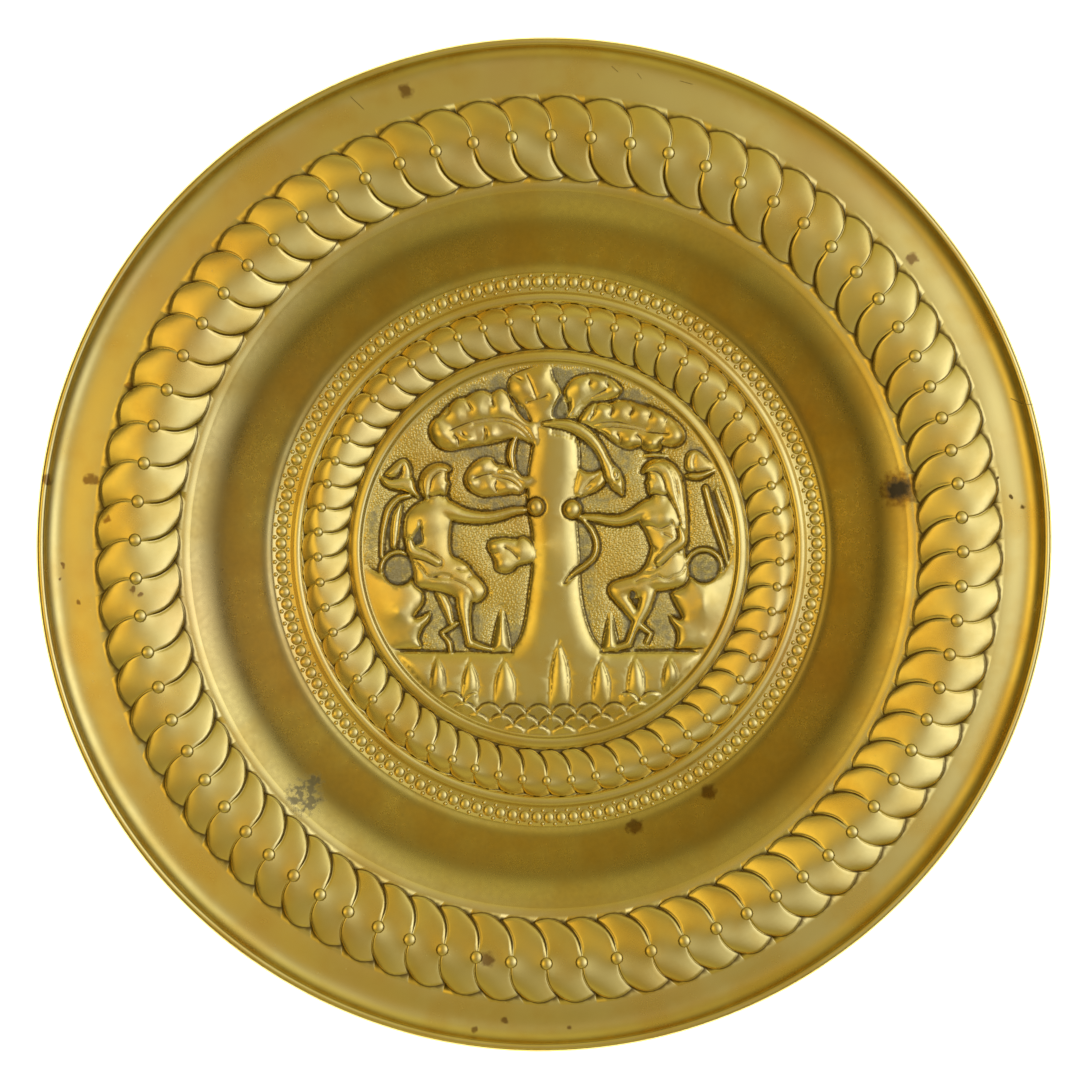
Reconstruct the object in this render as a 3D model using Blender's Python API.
"""Brass charger: a broad round dish, raised and embossed from one sheet of brass.

It lies on the flat underside of its floor. The origin is under the middle of the rim,
+Z is up, and +Y points to the top of the scene in the medallion. Sizes are in
millimetres, and MM turns them into metres when the mesh is made. The raised rings
share an axis a little off the middle of the rim, which was trimmed by hand. A bearing
turns clockwise from +Y round that axis, and radii are measured from it.
"""
from dataclasses import dataclass
from math import cos, hypot, pi, radians, sin, sqrt

import bmesh
import bpy
from mathutils import Vector
from mathutils.geometry import delaunay_2d_cdt

MM = 0.001

# The sheet and the rim
SHEET = 1.0
RIM_RADIUS = 210.0
RIM_SHIFT = 3.0             # how far the rim's middle stands off the rings' axis
RIM_SHIFT_BEARING = -44.0
RIM_OVAL = 0.6              # half the difference between its two half widths
RIM_OVAL_BEARING = 51.0
ROLL = 1.9                  # radius of the rolled edge
ROLL_HEIGHT = 31.4          # middle of the roll over the table
ROLL_SIDES = 6

# Main levels and radii
FLANGE_HEIGHT = 29.4        # upper face where the flange meets the wreath
MARGIN_RADIUS = 187.6       # the plain margin runs from here to the upturn
UPTURN_RADIUS = 199.8
FOOT_RADIUS = 117.0         # where the wall meets the floor
FIELD_RADIUS = 77.3         # the medallion's field
HUB_RADIUS = 83.0           # the flat face of the underside inside the inner wreath
RINGS_ROUND = 57            # sides of the plain rings in the floor
UNDER_ROUND = 48            # sides of the underside of the flange and the wall
WALL_ROUND = 68             # sides of the wall, the flange and the rim
HUB_ROUND = 32              # sides of the underside's hollow under the inner wreath

# Mouldings in the floor, as (radius, height over the floor's upper face)
HALF_ROUND = ((FIELD_RADIUS, 0.0), (78.9, 1.9), (81.0, 2.0), (82.9, 0.4))
FILLET_AND_BEADS = (
    (103.1, 0.4), (104.3, 1.6), (106.4, 1.6), (107.7, 0.3),
    (109.3, 1.3), (113.1, 1.3), (114.8, 0.5),
)
# The wall from its foot to the wreath, as (radius, height over the table), and its outside
WALL = ((FOOT_RADIUS, 2.0), (122.0, 6.8), (133.0, 19.6), (141.5, 26.2), (148.6, 28.5))
OUTSIDE = ((150.5, 27.5), (142.3, 25.2), (134.1, 19.2), (122.2, 5.4))
# The upturn inside the roll, as (radius past its start, height over the flange's face)
UPTURN = ((0.0, -0.7), (3.4, -0.2))
UNDER_UPTURN = ((4.6, 0.1), (0.0, -0.7))
UNDER_MARGIN = -0.1         # underside of the margin, over that of the flange
# The hollow under each wreath, as (radius past the bosses, height over the sheet beside it)
UNDER_OUTER_WREATH = ((5.0, 2.4), (-7.0, 2.1))
UNDER_INNER_WREATH = ((6.5, 0.0), (1.0, 2.7), (-7.0, 1.7))

# The triangulation and the shading
FIELD_EDGE = 1.2            # the relief falls to the field over this width at its edge
MERGE = 0.35                # corners nearer than this become one
SHARP_EDGE = 32.0           # edges bent by more than this many degrees stay sharp


@dataclass
class Wreath:
    """A ring of scales that lap like a rope's strands, with a boss where two cross."""
    scales: int
    boss_circle: float      # radius that the bosses stand on
    reach_out: float        # from the bosses to the notches between the outer arcs
    reach_in: float
    scallop_out: float      # how far the round ends pass the notches
    scallop_in: float
    arc_out: float          # radius of the outer arcs
    arc_in: float
    straight_out: float     # how far an arc runs straight before it bends
    straight_in: float
    rise: float             # crown over the sheet
    lap: float              # step where one scale lies over the next
    boss: float             # radius of a boss
    foot_out: float         # upper face at the outer and inner edge, over the table
    foot_in: float
    rows_out: tuple         # rows of corners, as parts of the reach
    rows_in: tuple
    ledge: float            # width of the step down from the round ends; 0 leaves it out
    start: float            # bearing of the first boss
    drift: tuple            # the smith's uneven spacing: (cosine, sine) parts of a turn


OUTER_WREATH = Wreath(
    scales=73, boss_circle=171.3, reach_out=13.0, reach_in=16.1,
    scallop_out=2.9, scallop_in=1.9, arc_out=12.4, arc_in=13.2,
    straight_out=3.4, straight_in=5.0, rise=3.6, lap=1.3, boss=2.5,
    foot_out=FLANGE_HEIGHT, foot_in=FLANGE_HEIGHT - 0.4,
    rows_out=(0.21, 0.64, 1.0), rows_in=(0.17, 0.62, 1.0), ledge=0.5,
    start=-1.1, drift=((1.6, 3.4), (0.5, 0.5), (-0.4, 0.0), (-0.3, 0.5)),
)
INNER_WREATH = Wreath(
    scales=57, boss_circle=96.1, reach_out=5.4, reach_in=11.3,
    scallop_out=1.0, scallop_in=1.2, arc_out=6.2, arc_in=9.5,
    straight_out=1.0, straight_in=3.8, rise=3.3, lap=0.9, boss=1.6,
    foot_out=1.1, foot_in=1.1,
    rows_out=(0.34, 1.0), rows_in=(0.16, 0.62, 1.0), ledge=0.0,
    start=3.3, drift=((-0.2, 1.3), (-0.1, 0.2), (0.1, 0.4), (0.3, -0.1)),
)
EDGE_GAP = 0.05             # width of the step between two scales, in scales
EDGE_RISE = 0.2             # height of a scale's round end, in the wreath's rise
CROWN_FALL = 2.2            # how the crown falls to the edges: 2 is a round back
LAP_TURN = 3.0              # the lap turns over in a third of the reach about the bosses
BOSS_HEIGHT = 0.75          # of a boss, in its own radius
BOSS_SINK = 0.3             # how far the sheet is sunk beside a boss


def rim_swell(bearing):
    """How far the rim's outline stands out of a circle round the rings' axis."""
    off_axis = RIM_SHIFT * cos(bearing - radians(RIM_SHIFT_BEARING))
    return off_axis + RIM_OVAL * cos(2 * (bearing - radians(RIM_OVAL_BEARING)))


@dataclass
class Ring:
    """One turn of corners round the axis, each (bearing, radius, height)."""
    corners: list
    scaled: bool = False    # a row of a wreath, with a corner on each side of every line
    tops: tuple = ()        # the bosses' tops, on a wreath's middle row


def plain_ring(radius, height, sides, follow=0.0):
    """One turn of a moulding; follow says how closely it keeps to the rim's outline."""
    corners = []
    for side in range(sides):
        bearing = 2 * pi * side / sides
        corners.append((bearing, radius + follow * rim_swell(bearing), height))
    return Ring(corners)


# ---- the wreaths --------------------------------------------------------------------

def boss_bearing(wreath, place):
    """Bearing of a boss; between two bosses, place is a fraction."""
    turn = 2 * pi * place / wreath.scales
    uneven = wreath.start
    for order, (cosine, sine) in enumerate(wreath.drift, start=1):
        uneven += cosine * cos(order * turn) + sine * sin(order * turn)
    return turn + radians(uneven)


def arc_run(wreath, offset):
    """Sideways run of the line between two scales, at an offset from the bosses."""
    if offset > 0:
        bend = max(0.0, offset - wreath.straight_out)
        return sqrt(wreath.arc_out**2 - bend**2) - wreath.arc_out
    bend = max(0.0, -offset - wreath.straight_in)
    return wreath.arc_in - sqrt(wreath.arc_in**2 - bend**2)


def scale_corner(wreath, line, part, along):
    """A corner of a scale: along its width from its line, and part of the reach out."""
    reach = wreath.reach_out if part > 0 else wreath.reach_in
    scallop = wreath.scallop_out if part > 0 else wreath.scallop_in
    run = arc_run(wreath, part * reach)
    offset = part * (reach + scallop * sin(pi * along))
    radius = wreath.boss_circle + offset
    bearing = boss_bearing(wreath, line + along) + run / radius
    foot = wreath.foot_out if part > 0 else wreath.foot_in
    middle = (wreath.foot_out + wreath.foot_in) / 2
    level = middle + (foot - middle) * abs(part)
    crown = wreath.rise * (1 - (1 - EDGE_RISE) * abs(part)**CROWN_FALL)
    step = wreath.lap * (along - 0.5) * max(-1.0, min(1.0, part * LAP_TURN))
    return bearing, radius, level + crown + step


def scale_row(wreath, part):
    """One row round the wreath, with a corner on each side of every line."""
    corners = []
    for line in range(wreath.scales):
        corners.append(scale_corner(wreath, line, part, EDGE_GAP))
        corners.append(scale_corner(wreath, line, part, 1 - EDGE_GAP))
    return Ring(corners, scaled=True)


def ledge_row(wreath, part):
    """The sheet just past the scales' round ends, on the side that part's sign gives."""
    corners = []
    for bearing, radius, _ in scale_row(wreath, part).corners:
        foot = wreath.foot_out if part > 0 else wreath.foot_in
        corners.append((bearing, radius + part * wreath.ledge, foot))
    return Ring(corners, scaled=True)


def boss_row(wreath):
    """The middle row, spread to both sides of each boss, and the tops of the bosses."""
    spread = wreath.boss / wreath.boss_circle
    crown = (wreath.foot_out + wreath.foot_in) / 2 + wreath.rise
    corners, tops = [], []
    for line in range(wreath.scales):
        bearing = boss_bearing(wreath, line)
        following = boss_bearing(wreath, line + 1)
        corners.append((bearing + spread, wreath.boss_circle, crown - BOSS_SINK))
        corners.append((following - spread, wreath.boss_circle, crown - BOSS_SINK))
        tops.append((bearing, wreath.boss_circle, crown + BOSS_HEIGHT * wreath.boss))
    return Ring(corners, scaled=True, tops=tuple(tops))


def wreath_rows(wreath):
    """Rows of a wreath from its inner edge out; the bosses' row comes with their tops."""
    rows = [scale_row(wreath, -part) for part in reversed(wreath.rows_in)]
    rows.append(boss_row(wreath))
    rows += [scale_row(wreath, part) for part in wreath.rows_out]
    if wreath.ledge:
        rows = [ledge_row(wreath, -1.0)] + rows + [ledge_row(wreath, 1.0)]
    return rows


# ---- the scene in the medallion -----------------------------------------------------

STROKE_END = 0.9            # how far a stroke runs past its last point, in its half width
EDGE_SLOPE = 1.6            # width of the slope round a flat patch of relief
LEAF_SLOPE = 2.0
LEAF_NOTCH = 0.78           # a leaf's half width in the notches between its lobes
# A leaf's lower edge, as (how far along from the tip's side, part of the half width)
LEAF_UNDERSIDE = ((0.8, 0.75), (0.5, 1.0), (0.2, 0.7))
FRUITS = (((-5.0, 17.8), 3.8), ((9.1, 16.6), 4.1))
FRUIT_HEIGHT = 5.2
SPIKES = ((-19.8, -22.7), (25.4, -23.6))
SPIKE_FOOT = -40.0
SEAT_RING = (63.5, -7.8)    # middle of the round hollow over a seat
SEAT_RING_RADIUS = 7.6
SEAT_RING_BAR = 1.5         # half width of its rim
DISC_SIDES = 8


def stroke(points, radii, height):
    """A round-backed bar of relief along points, with its half width at each."""
    return {"kind": "stroke", "points": points, "radii": radii, "height": height}


def plateau(outline, height, slope=EDGE_SLOPE):
    """A flat-topped patch of relief inside an outline, with a sloping edge."""
    return {"kind": "plateau", "points": outline, "slope": slope, "height": height}


def disc(centre, radius, height):
    """A domed round patch of relief."""
    return stroke((centre,), (radius,), height)


def seated_figure(side, joints):
    """A seated figure seen from its side, turned to the tree; side is -1 on the left."""
    def at(name):
        return side * joints[name][0], joints[name][1]

    # Each limb as (from, to, half width there and here, height)
    limbs = (
        ("hip", "knee", 5.6, 4.3, 4.2), ("knee", "ankle", 4.0, 2.5, 3.6),
        ("ankle", "toes", 2.4, 1.7, 2.6), ("far_knee", "far_ankle", 3.0, 2.0, 2.4),
        ("shoulder", "reach_elbow", 3.8, 2.9, 3.8), ("reach_elbow", "reach_hand", 2.9, 1.7, 3.6),
        ("back_shoulder", "elbow", 3.4, 2.8, 4.0), ("elbow", "hand", 2.8, 1.9, 4.4),
    )
    parts = [
        disc(at("head"), 6.6, 4.6),
        stroke((at("neck"), at("chest"), at("waist"), at("hip")), (3.6, 8.8, 7.6, 7.8), 4.0),
    ]
    for start, end, start_width, end_width, height in limbs:
        parts.append(stroke((at(start), at(end)), (start_width, end_width), height))
    return parts


def leaf(stem, tip, upper, lower, lobes, height):
    """A leaf with round lobes along its upper side; upper and lower are its half widths."""
    stem, tip = Vector(stem), Vector(tip)
    way = tip - stem
    up = Vector((-way.y, way.x)).normalized()
    if up.y < 0:
        up.negate()
    outline = [stem]
    steps = 2 * lobes
    for step in range(1, steps):
        along = step / steps
        swell = sin(pi * min(0.92, 0.15 + 0.8 * along))**0.5
        notch = LEAF_NOTCH if step % 2 == 0 else 1.0
        outline.append(stem + way * along + up * upper * swell * notch)
    outline.append(tip)
    for along, swell in LEAF_UNDERSIDE:
        outline.append(stem + way * along - up * lower * swell)
    return plateau([tuple(corner) for corner in outline], height, slope=LEAF_SLOPE)


def tree():
    """The broad smooth trunk with the ground it stands on, and the leaves at its top."""
    trunk = plateau((
        (-66.0, -42.5), (-15.0, -42.5), (-10.4, -33.0), (-8.6, -15.0), (-7.9, 8.0),
        (-9.0, 25.0), (-6.6, 47.0), (-4.5, 62.0), (-3.0, 72.5), (5.0, 72.5), (9.0, 60.0),
        (11.4, 47.0), (12.2, 22.0), (11.2, 5.0), (11.6, -15.0), (15.0, -33.0),
        (20.5, -42.5), (66.0, -42.5), (57.0, -51.5), (44.5, -62.5), (30.0, -70.5),
        (14.0, -75.4), (-14.0, -75.4), (-30.0, -70.5), (-44.5, -62.5), (-57.0, -51.5),
    ), 2.4)
    leaves = [
        leaf((-7.0, 47.5), (-50.0, 48.5), 10.6, 5.4, 4, 2.8),
        leaf((8.5, 52.0), (57.0, 46.0), 8.6, 7.2, 5, 2.8),
        leaf((-9.5, 27.0), (-34.0, 27.0), 10.0, 5.2, 3, 2.4),
        leaf((9.5, 57.0), (32.0, 65.5), 4.5, 3.6, 2, 2.2),
        leaf((-5.0, 60.0), (-22.0, 65.0), 4.6, 4.6, 2, 2.2),
        leaf((-7.6, -1.5), (-26.5, -2.0), 6.4, 6.4, 2, 2.4),
        leaf((11.5, 23.0), (25.0, 30.0), 4.4, 3.2, 2, 2.0),
    ]
    return [trunk] + leaves


def serpent():
    """The snake wound round the trunk: its front part with the head, and its tail."""
    body = stroke(
        ((1.0, 52.0), (10.5, 51.2), (18.8, 46.2), (24.0, 37.5), (27.0, 30.5), (31.0, 24.5)),
        (1.8, 2.3, 2.4, 2.4, 2.6, 1.6), 4.2,
    )
    tail = stroke(
        ((13.8, 12.4), (18.8, 5.0), (18.8, -2.0), (12.0, -9.5), (7.2, -14.8)),
        (1.6, 1.7, 1.7, 1.5, 0.9), 3.8,
    )
    return [body, tail]


def side_furniture(side):
    """The seat with its round hollow ring, and the flower on its stem behind it."""
    seat = plateau((
        (side * 52.0, -40.5), (side * 54.0, -27.0), (side * 52.0, -17.0),
        (side * 62.0, -18.5), (side * 72.5, -16.0), (side * 73.5, -22.0),
        (side * 67.5, -37.0), (side * 64.5, -41.0),
    ), 3.0)
    ring = []
    for turn in range(DISC_SIDES):
        angle = 2 * pi * turn / DISC_SIDES
        east = side * SEAT_RING[0] + SEAT_RING_RADIUS * cos(angle)
        ring.append((east, SEAT_RING[1] + SEAT_RING_RADIUS * sin(angle)))
    bars = (SEAT_RING_BAR,) * (DISC_SIDES + 1)
    stem = stroke(
        ((side * 72.5, -5.0), (side * 70.0, 8.0), (side * 65.5, 20.0), (side * 61.5, 25.5)),
        (1.5, 1.6, 1.6, 1.6), 2.2,
    )
    cup = stroke(((side * 56.5, 26.5), (side * 63.0, 28.5), (side * 69.5, 28.5)), (1.8, 2.4, 1.6), 2.8)
    bud = stroke(((side * 62.5, 28.5), (side * 60.5, 36.0)), (3.4, 1.5), 2.6)
    return [seat, stroke(ring + ring[:1], bars, 2.4), stem, cup, bud]


def flames():
    """The row of tongues of flame on the ground."""
    parts = []
    for across, low, high, width in (
        (-46.7, -59.0, -44.5, 2.6), (-33.1, -60.5, -45.5, 2.6), (-19.0, -62.5, -44.8, 3.0),
        (3.0, -62.5, -39.0, 3.8), (21.5, -61.5, -45.0, 3.0), (36.4, -59.0, -44.5, 2.6),
        (50.0, -57.0, -45.0, 2.4),
    ):
        foot, belly, tip = (across, low), (across, low * 0.7 + high * 0.3), (across, high)
        parts.append(stroke((foot, belly, tip), (width * 0.5, width, 0.6), 4.0))
    return parts


LEFT_JOINTS = {
    "head": (46.3, 28.1), "neck": (47.5, 19.5), "chest": (50.5, 9.0), "waist": (51.5, -1.0),
    "hip": (54.0, -11.0), "knee": (28.5, -15.5), "ankle": (32.0, -35.0),
    "toes": (24.5, -39.8), "far_knee": (39.0, -20.0), "far_ankle": (42.5, -37.0),
    "shoulder": (42.5, 14.8), "reach_elbow": (26.0, 13.8), "reach_hand": (10.5, 15.6),
    "back_shoulder": (56.5, 12.5), "elbow": (57.5, 0.5), "hand": (44.2, -5.4),
}
RIGHT_JOINTS = {
    "head": (45.5, 31.0), "neck": (46.0, 21.0), "chest": (47.0, 11.0), "waist": (49.5, 0.0),
    "hip": (54.0, -11.5), "knee": (26.5, -15.7), "ankle": (34.0, -35.0),
    "toes": (23.0, -40.3), "far_knee": (43.4, -18.6), "far_ankle": (42.0, -37.0),
    "shoulder": (41.3, 16.6), "reach_elbow": (27.0, 12.2), "reach_hand": (13.0, 14.2),
    "back_shoulder": (53.0, 14.0), "elbow": (55.5, 3.0), "hand": (44.2, -5.8),
}


def motifs():
    """Everything that stands up in the medallion."""
    parts = tree() + seated_figure(-1, LEFT_JOINTS) + seated_figure(1, RIGHT_JOINTS)
    hair = stroke(((47.0, 33.0), (54.0, 24.0), (55.5, 8.0), (57.0, -4.0)), (6.4, 3.6, 2.8, 1.8), 4.8)
    parts.append(hair)
    parts += serpent() + side_furniture(-1) + side_furniture(1) + flames()
    parts += [disc(centre, radius, FRUIT_HEIGHT) for centre, radius in FRUITS]
    for across, top in SPIKES:
        parts.append(stroke(((across, SPIKE_FOOT), (across, top)), (3.4, 0.7), 2.6))
    return parts


def along_segment(point, start, end):
    """Distance from a point to a segment, and how far along it the nearest place is."""
    run = (end[0] - start[0], end[1] - start[1])
    length = run[0]**2 + run[1]**2
    away = (point[0] - start[0], point[1] - start[1])
    share = 0.0
    if length > 0:
        share = max(0.0, min(1.0, (away[0] * run[0] + away[1] * run[1]) / length))
    return hypot(away[0] - share * run[0], away[1] - share * run[1]), share


def stroke_height(part, point):
    points, radii = part["points"], part["radii"]
    best = 0.0
    for index in range(max(1, len(points) - 1)):
        end = min(index + 1, len(points) - 1)
        away, share = along_segment(point, points[index], points[end])
        radius = radii[index] + share * (radii[end] - radii[index])
        inside = max(0.0, 1 - (away / radius)**2)
        best = max(best, part["height"] * sqrt(inside))
    return best


def plateau_height(part, point):
    outline = part["points"]
    inside = False
    nearest = part["slope"]
    for index, start in enumerate(outline):
        end = outline[index - 1]
        nearest = min(nearest, along_segment(point, start, end)[0])
        if (start[1] > point[1]) != (end[1] > point[1]):
            crossing = start[0] + (point[1] - start[1]) * (end[0] - start[0]) / (end[1] - start[1])
            inside = inside != (point[0] < crossing)
    return part["height"] * nearest / part["slope"] if inside else 0.0


def scene_height(parts, point):
    """Height of the relief over the field at a point: the highest motif there."""
    tall = 0.0
    for part in parts:
        measure = stroke_height if part["kind"] == "stroke" else plateau_height
        tall = max(tall, measure(part, point))
    return tall


def stroke_outline(part):
    """Corners round a stroke, and the corners of the ridge along its middle."""
    points = [Vector(point) for point in part["points"]]
    radii = part["radii"]
    if len(points) == 1:
        turns = [2 * pi * step / DISC_SIDES for step in range(DISC_SIDES)]
        return [points[0] + radii[0] * Vector((cos(turn), sin(turn))) for turn in turns]
    left, right = [], []
    for index, point in enumerate(points):
        before, after = points[max(0, index - 1)], points[min(len(points) - 1, index + 1)]
        way = (after - before).normalized()
        across = Vector((-way.y, way.x)) * radii[index]
        left.append(point + across)
        right.append(point - across)
    first = points[0] - (points[1] - points[0]).normalized() * radii[0] * STROKE_END
    last = points[-1] + (points[-1] - points[-2]).normalized() * radii[-1] * STROKE_END
    return [first] + left + [last] + right[::-1]


def inset(outline, distance):
    """An outline's corners moved inward, for the flat top of a plateau."""
    moved = []
    for index, point in enumerate(outline):
        before, after = outline[index - 1], outline[(index + 1) % len(outline)]
        first, second = (point - before).normalized(), (after - point).normalized()
        across = Vector((-first.y - second.y, first.x + second.x)).normalized()
        moved.append(point + across * distance)
    return moved


def signed_area(outline):
    area = 0.0
    for index, point in enumerate(outline):
        area += outline[index - 1].cross(point)
    return area / 2


def medallion_surface():
    """The field as a triangulated surface: points with heights, and triangles.

    Corners on the motifs' outlines and ridges are joined by a constrained Delaunay
    triangulation, and each takes the height of the relief there. The first corners are
    those of the ring round the field.
    """
    parts = motifs()
    corners, edges = [], []

    def add_loop(loop, closed=True):
        start = len(corners)
        corners.extend(loop)
        for step in range(len(loop) if closed else len(loop) - 1):
            edges.append((start + step, start + (step + 1) % len(loop)))

    border = []
    for bearing, radius, _ in plain_ring(FIELD_RADIUS, 0.0, RINGS_ROUND).corners:
        border.append(Vector((radius * sin(bearing), radius * cos(bearing))))
    add_loop(border)
    for part in parts:
        if part["kind"] == "stroke":
            add_loop(stroke_outline(part))
            add_loop([Vector(point) for point in part["points"]], closed=False)
        else:
            outline = [Vector(point) for point in part["points"]]
            if signed_area(outline) < 0:
                outline.reverse()
            add_loop(outline)
            add_loop(inset(outline, part["slope"]))
    limit = FIELD_RADIUS - FIELD_EDGE
    for index in range(RINGS_ROUND, len(corners)):
        if corners[index].length > limit:
            corners[index] = corners[index].normalized() * limit
    spots, _, triangles, _, _, _ = delaunay_2d_cdt(corners, edges, [], 0, MERGE)
    surface = []
    for spot in spots:
        fade = max(0.0, min(1.0, (FIELD_RADIUS - spot.length) / FIELD_EDGE))
        surface.append((spot.x, spot.y, fade * scene_height(parts, spot)))
    return surface, triangles


# ---- the whole sheet ----------------------------------------------------------------

def top_rings():
    """The rings of the upper side, from the field to the foot of the rolled edge."""
    rings = []
    for radius, height in HALF_ROUND:
        rings.append(plain_ring(radius, SHEET + height, RINGS_ROUND))
    rings += wreath_rows(INNER_WREATH)
    for radius, height in FILLET_AND_BEADS:
        rings.append(plain_ring(radius, SHEET + height, RINGS_ROUND))
    for radius, height in WALL:
        rings.append(plain_ring(radius, height, WALL_ROUND))
    rings += wreath_rows(OUTER_WREATH)
    for past, height in UPTURN:
        rings.append(plain_ring(UPTURN_RADIUS + past, FLANGE_HEIGHT + height, WALL_ROUND, 1.0))
    return rings


def roll_rings():
    """The rolled edge, from its inner side over the top and down to its underside."""
    middle = RIM_RADIUS - ROLL
    rings = []
    for side in range(ROLL_SIDES - 1):
        turn = pi - 2 * pi * side / ROLL_SIDES
        radius, height = middle + ROLL * cos(turn), ROLL_HEIGHT + ROLL * sin(turn)
        rings.append(plain_ring(radius, height, WALL_ROUND, 1.0))
    return rings


def underside_rings():
    """The rings of the underside, from the rolled edge in to the flat it lies on."""
    under = FLANGE_HEIGHT - SHEET
    rings = []
    for past, height in UNDER_UPTURN:
        rings.append(plain_ring(UPTURN_RADIUS + past, under + height, UNDER_ROUND, 1.0))
    rings.append(plain_ring(MARGIN_RADIUS, under + UNDER_MARGIN, UNDER_ROUND))
    for past, height in UNDER_OUTER_WREATH:
        rings.append(plain_ring(OUTER_WREATH.boss_circle + past, under + height, UNDER_ROUND))
    for radius, height in OUTSIDE:
        rings.append(plain_ring(radius, height, UNDER_ROUND))
    rings.append(plain_ring(FOOT_RADIUS, 0.0, HUB_ROUND))
    for past, height in UNDER_INNER_WREATH:
        rings.append(plain_ring(INNER_WREATH.boss_circle + past, height, HUB_ROUND))
    rings.append(plain_ring(HUB_RADIUS, 0.0, HUB_ROUND))
    return rings


def place(mesh, corners):
    """Puts corners in the mesh, and gives each with its bearing."""
    placed = []
    for bearing, radius, height in corners:
        spot = Vector((radius * sin(bearing), radius * cos(bearing), height))
        placed.append((bearing, mesh.verts.new(spot * MM)))
    return placed


def zip_rings(mesh, first, second):
    """Triangles between two rings that may have unlike numbers of corners."""
    begin = min(range(len(second)), key=lambda spot: abs(second[spot][0] - first[0][0]))
    one, two = 0, 0
    while one < len(first) or two < len(second):
        first_turns, first_next = divmod(one + 1, len(first))
        second_turns, second_next = divmod(begin + two + 1, len(second))
        first_bearing = first[first_next][0] + 2 * pi * first_turns
        second_bearing = second[second_next][0] + 2 * pi * second_turns
        here = first[one % len(first)][1]
        there = second[(begin + two) % len(second)][1]
        if two >= len(second) or (one < len(first) and first_bearing <= second_bearing):
            mesh.faces.new((here, there, first[first_next][1]))
            one += 1
        else:
            mesh.faces.new((here, there, second[second_next][1]))
            two += 1


def zip_rows(mesh, first, second, beside_boss):
    """Quads between two rows of a wreath; the steps beside a boss are left open."""
    count = len(first)
    for corner in range(count):
        over_line = corner % 2 == 1
        if beside_boss and over_line:
            continue
        after = (corner + 1) % count
        quad = (first[corner][1], first[after][1], second[after][1], second[corner][1])
        mesh.faces.new(quad)


def close_bosses(mesh, inner, middle, outer, tops):
    """A low pyramid over each boss, between the rows inside and outside it."""
    count = len(middle)
    for line, (_, top) in enumerate(tops):
        right, left = 2 * line, (2 * line - 1) % count
        foot = [
            inner[left][1], inner[right][1], middle[right][1],
            outer[right][1], outer[left][1], middle[left][1],
        ]
        for corner, vert in enumerate(foot):
            mesh.faces.new((foot[corner - 1], vert, top))


def skin(mesh, rings):
    """The surface through a run of rings; gives the corners of the first and the last."""
    placed = [place(mesh, ring.corners) for ring in rings]
    for index in range(1, len(rings)):
        inner, outer = rings[index - 1], rings[index]
        if inner.scaled and outer.scaled:
            beside_boss = bool(inner.tops or outer.tops)
            zip_rows(mesh, placed[index - 1], placed[index], beside_boss)
        else:
            zip_rings(mesh, placed[index - 1], placed[index])
    for index, ring in enumerate(rings):
        if ring.tops:
            tops = place(mesh, ring.tops)
            close_bosses(mesh, placed[index - 1], placed[index], placed[index + 1], tops)
    return placed[0], placed[-1]


def charger_mesh():
    """The whole sheet as one closed surface."""
    mesh = bmesh.new()
    border, hub = skin(mesh, top_rings() + roll_rings() + underside_rings())
    surface, triangles = medallion_surface()
    corners = [vert for _, vert in border]
    for east, north, height in surface[RINGS_ROUND:]:
        corners.append(mesh.verts.new(Vector((east, north, SHEET + height)) * MM))
    for triangle in triangles:
        mesh.faces.new([corners[index] for index in triangle])
    middle = mesh.verts.new((0, 0, 0))
    for corner, (_, vert) in enumerate(hub):
        mesh.faces.new((hub[corner - 1][1], vert, middle))
    bmesh.ops.triangulate(mesh, faces=mesh.faces)
    bmesh.ops.recalc_face_normals(mesh, faces=mesh.faces)
    return mesh


def stand_on_origin(mesh):
    """Moves the dish so that the origin lies under the middle of its rim."""
    across = [vert.co.x for vert in mesh.verts]
    along = [vert.co.y for vert in mesh.verts]
    low = min(vert.co.z for vert in mesh.verts)
    middle = Vector(((min(across) + max(across)) / 2, (min(along) + max(along)) / 2, low))
    bmesh.ops.translate(mesh, verts=mesh.verts, vec=-middle)


def brass():
    """Old yellow brass, polished and mellowed."""
    material = bpy.data.materials.new("brass")
    material.use_nodes = True
    shader = material.node_tree.nodes["Principled BSDF"]
    shader.inputs["Base Color"].default_value = (0.72, 0.50, 0.16, 1.0)
    shader.inputs["Metallic"].default_value = 1.0
    shader.inputs["Roughness"].default_value = 0.28
    return material


def build():
    for old in list(bpy.data.objects):
        bpy.data.objects.remove(old)
    mesh = charger_mesh()
    stand_on_origin(mesh)
    data = bpy.data.meshes.new("charger")
    mesh.to_mesh(data)
    mesh.free()
    data.materials.append(brass())
    data.shade_smooth()
    data.set_sharp_from_angle(angle=radians(SHARP_EDGE))
    charger = bpy.data.objects.new("charger", data)
    bpy.context.scene.collection.objects.link(charger)


build()
